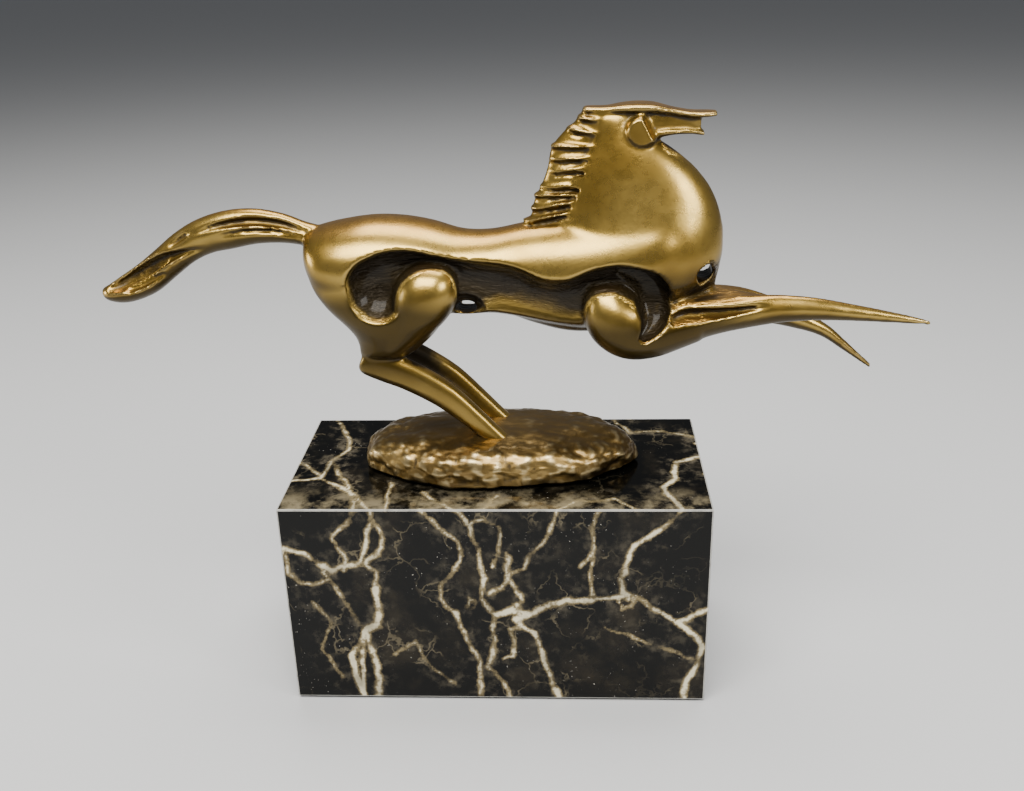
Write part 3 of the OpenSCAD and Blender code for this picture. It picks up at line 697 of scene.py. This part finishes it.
left, front, back, right = low.x, low.y, high.y, high.x
veins = [(w, [Vector((x, front, z)) for x, z in path]) for w, path in frontVeins]
veins += [(w, [Vector((x, y, high.z)) for x, y in path]) for w, path in topVeins]
veins += [(w, [Vector((-x, back, 81 - z)) for x, z in path]) for w, path in frontVeins[1:]]
for face, first, last in ((left, 0, 9), (right, 18, 26)):
    middleX = sum(p[0] for w, path in frontVeins[first:last] for p in path) / sum(
        len(path) for w, path in frontVeins[first:last])
    veins += [(w, [Vector((face, max(front, min(back, (x - middleX) * 0.95)), z)) for x, z in path])
              for w, path in frontVeins[first:last]]
places = pointsOf(stone.data) / mm
noise.seed_set(4)  # the same veins on every run
warp = np.array([noise.noise_vector(Vector(p) / 8.5) * 1.5 + noise.noise_vector(Vector(p) / 3) * 0.6
                 for p in places])
places = places + warp
nearVein = np.full(len(places), 99.0)
for w, path in veins:
    for a, b in zip(path[:-1], path[1:]):
        run = np.array(b - a)
        share = np.clip(((places - np.array(a)) @ run) / max(run @ run, 1e-9), 0, 1)
        gap = np.linalg.norm(places - np.array(a) - share[:, None] * run, axis=1) - w
        nearVein = np.minimum(nearVein, gap)
addShade(stone, "vein", nearVein)
print("marble", len(stone.data.polygons))


# camera, light and floor

def plainMaterial(name, color, roughness, metallic=0.0):
    mat = bpy.data.materials.new(name)
    mat.use_nodes = True
    shader = mat.node_tree.nodes["Principled BSDF"]
    shader.inputs["Base Color"].default_value = (*color, 1)
    shader.inputs["Roughness"].default_value = roughness
    shader.inputs["Metallic"].default_value = metallic
    return mat


def areaLight(name, place, target, size, watts, color=(1, 1, 1)):
    bpy.ops.object.light_add(type="AREA", location=place)
    lamp = bpy.context.active_object
    lamp.name = name
    lamp.data.shape = "RECTANGLE"
    lamp.data.size, lamp.data.size_y = size
    lamp.data.energy = watts
    lamp.data.color = color
    lamp.rotation_euler = (Vector(target) - Vector(place)).to_track_quat("-Z", "Y").to_euler()
    return lamp


print("camera, light and floor")
bpy.ops.object.camera_add(location=(0.0259, -0.3640, 0.2622))
camera = bpy.context.active_object
camera.name = "camera"
ahead = Vector((-0.0513, 0.9181, -0.3930))
upward = Vector((0.0051, 0.3937, 0.9192))
side = ahead.cross(upward).normalized()
upward = side.cross(ahead).normalized()
camera.matrix_world = Matrix((
    (side.x, upward.x, -ahead.x, 0.0259), (side.y, upward.y, -ahead.y, -0.3640),
    (side.z, upward.z, -ahead.z, 0.2622), (0, 0, 0, 1)))
camera.data.lens = 38.43
camera.data.sensor_width = 36
camera.data.clip_start = 0.01
bpy.context.scene.camera = camera

bpy.ops.mesh.primitive_plane_add(size=24, location=(0, 0, 0))
floor = bpy.context.active_object
floor.name = "floor"
floor.data.materials.append(plainMaterial("pale floor", (0.62, 0.63, 0.64), 0.6))

areaLight("key", (-0.12, -0.5, 0.95), (0, 0, 0.14), (0.95, 0.5), 18, (1, 0.97, 0.92))
areaLight("side", (0.8, -0.5, 0.6), (0, 0, 0.14), (0.35, 0.35), 4.5, (1, 0.98, 0.95))
areaLight("left", (-0.95, -0.02, 0.24), (0, 0, 0.15), (0.3, 0.3), 2.6,
          (1, 0.98, 0.95)).visible_camera = False
areaLight("top", (0.05, 0.3, 1.0), (0, 0, 0.12), (0.8, 0.4), 8, (1, 0.98, 0.94))

world = bpy.data.worlds.new("studio")
bpy.context.scene.world = world
world.use_nodes = True
world.node_tree.nodes["Background"].inputs["Color"].default_value = (0.42, 0.43, 0.45, 1)
world.node_tree.nodes["Background"].inputs["Strength"].default_value = 0.3

# materials

class Nodes:  # short way to lay nodes in a material
    def __init__(self, name):
        self.material = bpy.data.materials.new(name)
        self.material.use_nodes = True
        self.tree = self.material.node_tree
        self.shader = self.tree.nodes["Principled BSDF"]

    def put(self, socket, value):
        if isinstance(value, bpy.types.NodeSocket):
            self.tree.links.new(value, socket)
        elif isinstance(value, tuple) and len(value) == 3 and socket.type == "RGBA":
            socket.default_value = (*value, 1)
        else:
            socket.default_value = value

    def add(self, kind, inputs=(), out=0, **settings):
        node = self.tree.nodes.new("ShaderNode" + kind)
        for key, value in settings.items():
            setattr(node, key, value)
        for key, value in dict(inputs).items():
            self.put(node.inputs[key], value)
        return node.outputs[out]

    def math(self, operation, a, b=0.0, c=0.0, clamp=False):
        return self.add("Math", {0: a, 1: b, 2: c}, operation=operation, use_clamp=clamp)

    def mix(self, a, b, amount):
        return self.add("Mix", {0: amount, 6: a, 7: b}, 2, data_type="RGBA")

    def ramp(self, value, low, high, toLow=0.0, toHigh=1.0):
        return self.add("MapRange", {0: value, 1: low, 2: high, 3: toLow, 4: toHigh},
                        interpolation_type="SMOOTHSTEP")

    def noise(self, place, scale, detail=3.0, rough=0.55, out=0):
        return self.add("TexNoise", {"Vector": place, "Scale": scale, "Detail": detail, "Roughness": rough},
                        out)

    def stretch(self, place, turn, scale):
        return self.add("Mapping", {"Vector": place, "Rotation": turn, "Scale": scale})

    def set(self, **inputs):
        for key, value in inputs.items():
            self.put(self.shader.inputs[key.replace("_", " ")], value)


# bronze looks: gold and brown are patina tones; the underside colour and low paint shade on undersides and
# the lower body; the orange top tone paints light on faces turned up; the edge colour is rubbed patina with
# a painted highlight; dark hollows are dark patina with painted shade
patinaAndLight = {
    "gold": (0.52, 0.35, 0.085), "brown": (0.37, 0.228, 0.042), "underShade": (0.024, 0.0155, 0.003),
    "topLight": (0.52, 0.27, 0.06), "dark": (0.009, 0.0055, 0.002), "rubbedAndLit": (0.68, 0.50, 0.20),
    "roughness": 0.28,
    "hollowFrom": 0.16, "hollowTo": 0.6, "edgeFrom": -0.34, "edgeTo": -0.85, "low": 0.97}
soilPatinaAndLight = dict(patinaAndLight, gold=(0.34, 0.225, 0.075), brown=(0.15, 0.09, 0.026), topLight=(0.19, 0.12, 0.04),
                  rubbedAndLit=(0.80, 0.64, 0.34), roughness=0.33, hollowFrom=0.2, hollowTo=0.8, edgeFrom=-0.06,
                  edgeTo=-0.5, low=0.0)


def bronzeMaterial(name, look):
    m = Nodes(name)
    place = m.add("TexCoord", out=3)
    deep = m.add("Attribute", out=2, attribute_name="shelter")
    dip = m.add("Attribute", out=2, attribute_name="dip")
    up = m.add("SeparateXYZ", {0: m.add("NewGeometry", out=1)}, 2)
    cloud = m.noise(place, 38, 2, 0.45)
    speck = m.noise(place, 1500, 2, 0.7)
    color = m.mix(look["brown"], look["gold"], m.ramp(cloud, 0.3, 0.66))
    # painted light: faces turned up are tinted towards a lit orange tone
    color = m.mix(color, look["topLight"], m.math("MULTIPLY", m.ramp(up, 0.7, 1.0), 0.7))
    # painted shade: faces turned down are darkened towards the underside shade colour
    below = m.ramp(m.math("ADD", up, m.math("MULTIPLY", m.math("SUBTRACT", cloud, 0.5), 0.4)), 0.2, -0.4)
    along = m.add("SeparateXYZ", {0: place}, 0)
    height = m.add("SeparateXYZ", {0: place}, 2)
    # painted shade: the lower body and legs are darkened by height, except where they face up
    waist = m.math("ADD", height, m.ramp(along, -0.035, 0.01, -0.008, 0.0))
    low = m.math("MULTIPLY", m.ramp(waist, 0.151, 0.137, 0.0, look["low"]), m.ramp(along, 0.112, 0.076))
    low = m.math("MULTIPLY", low, m.ramp(along, -0.074, -0.062))
    low = m.math("MULTIPLY", low, m.ramp(height, 0.104, 0.130, 0.5, 1.0))
    below = m.math("MAXIMUM", below, m.math("MULTIPLY", low, m.ramp(up, 0.75, 0.1)))
    color = m.mix(color, look["underShade"], m.math("MULTIPLY", below, 0.95))
    # hollows and grooves darkened: dark patina with painted shade on top of it
    inside = m.ramp(m.math("ADD", deep, m.math("MULTIPLY", m.math("SUBTRACT", cloud, 0.5), 0.12)),
                    look["hollowFrom"], look["hollowTo"])
    groove = m.ramp(dip, 0.12, 0.6)
    shade = m.math("MAXIMUM", m.math("MULTIPLY", inside, 0.96), m.math("MULTIPLY", groove, 0.85))
    color = m.mix(color, look["dark"], shade)
    # rubbed patina with a painted highlight: raised edges are lightened, less where the underside is painted
    # dark
    edge = m.math("MULTIPLY", m.ramp(dip, look["edgeFrom"], look["edgeTo"]), m.math("SUBTRACT", 1.0, below))
    color = m.mix(color, look["rubbedAndLit"], m.math("MULTIPLY", edge, 0.6))
    color = m.mix(color, look["dark"], m.math("MULTIPLY", m.ramp(speck, 0.6, 0.85), 0.14))
    roughness = m.math("ADD", m.math("MULTIPLY", m.noise(place, 260, 3), 0.14), look["roughness"] - 0.07)
    roughness = m.math("ADD", roughness, m.math("MULTIPLY",
                                                m.math("MAXIMUM", shade, m.math("MULTIPLY", below, 0.6)),
                                                0.22))
    swirl = m.add("VectorMath", {0: m.noise(place, 45, 2, 0.5, 1), "Scale": 0.012}, operation="SCALE")
    swept = m.add("VectorMath", {0: place, 1: swirl}, operation="ADD")
    strokes = m.noise(m.stretch(swept, (0.0, 0.55, 0.2), (120.0, 500.0, 760.0)), 1.0, 2, 0.6)
    strokeHeight = m.math("MULTIPLY", strokes, m.math("MULTIPLY", m.ramp(deep, 0.15, 0.45),
                                                      m.ramp(height, 0.131, 0.136, 0.0, 0.0016)))
    grain = m.math("MULTIPLY", m.noise(place, 900, 3, 0.6), 0.00003)
    wave = m.math("MULTIPLY", m.noise(place, 60, 1), 0.0003)
    height = m.math("ADD", m.math("ADD", strokeHeight, grain), wave)
    bump = m.add("Bump", {"Height": height, "Strength": 1.0, "Distance": 1.0})
    m.set(Base_Color=color, Roughness=roughness, Metallic=m.math("SUBTRACT", 0.95,
                                                                 m.math("MULTIPLY", shade, 0.6)),
          Normal=bump)
    m.set(Coat_Weight=0.2, Coat_Roughness=0.12, Specular_IOR_Level=0.25)
    return m.material


def marbleMaterial(name):
    m = Nodes(name)
    place = m.add("TexCoord", out=3)
    vein = m.add("Attribute", out=2, attribute_name="vein")
    ragged = m.math("ADD", m.math("MULTIPLY", m.math("SUBTRACT", m.noise(place, 900, 3, 0.6), 0.5), 1.3),
                    m.math("MULTIPLY", m.math("SUBTRACT", m.noise(place, 300, 3), 0.5), 1.4))
    near = m.math("ADD", m.math("ADD", vein, 0.12), ragged)
    patchy = m.ramp(m.noise(place, 75, 3), 0.3, 0.6, 0.35, 1.0)
    core = m.math("MULTIPLY", m.ramp(near, 0.25, -0.45), patchy)
    edge = m.math("MULTIPLY", m.ramp(near, 1.0, -0.1), patchy)
    cloud = m.ramp(m.noise(place, 38, 5, 0.62), 0.5, 0.72)
    color = m.mix(stoneLook["black"], stoneLook["brown"], cloud)
    # smoky veil near veins, painted lighter on faces turned up: painted light on the top
    veil = m.math("MULTIPLY", m.ramp(vein, 9.0, 0.0), m.ramp(m.noise(place, 190, 4, 0.65), 0.47, 0.72))
    upward = m.ramp(m.add("SeparateXYZ", {0: m.add("NewGeometry", out=1)}, 2), 0.5, 0.9, 0.55, 1.0)
    color = m.mix(color, stoneLook["smokeAndTopLight"], m.math("MULTIPLY", veil, upward))
    # painted sheen: a pale haze on the top face near the front edge; the same pale colour also draws the
    # real crack web
    front = m.math("MULTIPLY", m.ramp(m.add("SeparateXYZ", {0: place}, 1), -0.018, -0.036),
                   m.ramp(upward, 0.6, 0.9))
    paintedTopSheen = m.math("MULTIPLY", front, m.ramp(m.noise(place, 110, 5, 0.65), 0.42, 0.66))
    color = m.mix(color, stoneLook["threadAndSheen"], m.math("MULTIPLY", paintedTopSheen, 0.9))
    cracks = m.add("TexVoronoi", {"Vector": m.add("VectorMath", {0: place, 1: m.add("VectorMath", {
        0: m.noise(place, 120, 3, 0.6, 1), "Scale": 0.012}, operation="SCALE")}, operation="ADD"),
        "Scale": 75.0},
        0, feature="DISTANCE_TO_EDGE")
    web = m.math("MULTIPLY", m.ramp(cracks, 0.035, 0.006), m.ramp(m.noise(place, 55, 3), 0.5, 0.62))
    web = m.math("MULTIPLY", web, m.ramp(vein, 14.0, 1.0, 0.12, 0.8))
    color = m.mix(color, stoneLook["threadAndSheen"], m.math("MULTIPLY", web, 0.5))
    color = m.mix(color, stoneLook["gold"], m.math("MULTIPLY", edge, 0.75))
    color = m.mix(color, stoneLook["cream"], core)
    speck = m.math("MULTIPLY", m.ramp(m.noise(place, 1100, 2, 0.5), 0.70, 0.76),
                   m.ramp(m.noise(place, 60, 2), 0.45, 0.65))
    color = m.mix(color, stoneLook["speck"], m.math("MULTIPLY", speck, 0.6))
    # painted highlight: a pale colour on the bevel faces of the arris
    normal = m.add("VectorMath", {0: m.add("NewGeometry", out=3)}, operation="ABSOLUTE")
    corner = m.add("VectorMath", {0: normal, 1: (1.0, 1.0, 1.0)}, 1, operation="DOT_PRODUCT")
    arris = m.math("MULTIPLY", m.ramp(corner, 1.2, 1.36),
                   m.ramp(m.noise(place, 160, 3), 0.25, 0.5, 0.5, 0.95))
    color = m.mix(color, stoneLook["arris"], arris)
    roughness = m.math("ADD", m.math("MULTIPLY", core, 0.08),
                       m.ramp(m.noise(place, 420, 3), 0.3, 0.8, 0.09, 0.15))
    height = m.math("MULTIPLY", m.noise(place, 160, 3), 0.00002)
    m.set(Base_Color=color, Roughness=roughness, Normal=m.add("Bump",
                                                              {"Height": height, "Strength": 1.0,
                                                               "Distance": 1.0}))
    m.set(IOR=1.5, Specular_IOR_Level=0.2)
    return m.material


def feltMaterial(name):
    m = Nodes(name)
    place = m.add("TexCoord", out=3)
    hairs = m.noise(m.stretch(place, (0.3, 0.2, 0.7), (900.0, 2600.0, 1500.0)), 1.0, 4, 0.7)
    clumps = m.noise(place, 260, 4)
    color = m.mix((0.022, 0.055, 0.030), (0.075, 0.15, 0.085),
                  m.math("MULTIPLY", m.math("ADD", hairs, clumps), 0.5))
    height = m.math("MULTIPLY", hairs, 0.0003)
    m.set(Base_Color=color, Normal=m.add("Bump", {"Height": height, "Strength": 1.0, "Distance": 1.0}))
    m.set(Roughness=0.95, Sheen_Weight=0.4)
    return m.material


def steelMaterial(name):
    m = Nodes(name)
    place = m.add("TexCoord", out=3)
    brushed = m.noise(m.stretch(place, (0.0, 0.0, 0.0), (300.0, 300.0, 4200.0)), 1.0, 3)
    color = m.mix((0.42, 0.43, 0.45), (0.66, 0.67, 0.69), brushed)
    m.set(Base_Color=color, Roughness=m.ramp(brushed, 0.2, 0.8, 0.24, 0.42),
          Normal=m.add("Bump", {"Height": m.math("MULTIPLY", brushed, 0.00004), "Strength": 1.0,
                                "Distance": 1.0}))
    m.set(Metallic=1.0)
    return m.material


stoneLook = {
    "black": (0.0016, 0.0016, 0.0013), "brown": (0.019, 0.015, 0.009), "smokeAndTopLight": (0.105, 0.09, 0.062),
    "threadAndSheen": (0.24, 0.20, 0.12), "gold": (0.34, 0.265, 0.13), "cream": (0.82, 0.75, 0.53),
    "speck": (0.66, 0.63, 0.55),
    "arris": (0.55, 0.54, 0.5)}

print("materials")
bronze = bronzeMaterial("patinated bronze with painted light", patinaAndLight)
groundBronze = bronzeMaterial("ground bronze", soilPatinaAndLight)
blackMarble = marbleMaterial("veined black marble")
felt, steel = feltMaterial("green felt"), steelMaterial("brushed steel")


def finishPiece(piece, material, node, angle=50):
    piece.data.materials.clear()
    piece.data.materials.append(material)
    only(piece)
    bpy.ops.object.shade_smooth_by_angle(angle=math.radians(angle))
    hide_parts(node)
    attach(piece, "root")


for node, piece in bronzePieces.items():
    finishPiece(piece, bronze, node)
finishPiece(soil, groundBronze, "ground_casting", 60)
finishPiece(stone, blackMarble, "marble_base", 30)
for node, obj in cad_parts.items():
    if obj.hide_render:
        continue
    material = felt if node == "felt_sheet" else steel if node.startswith(("fixing", "stud")) else bronze
    obj.data.materials.clear()
    obj.data.materials.append(material)
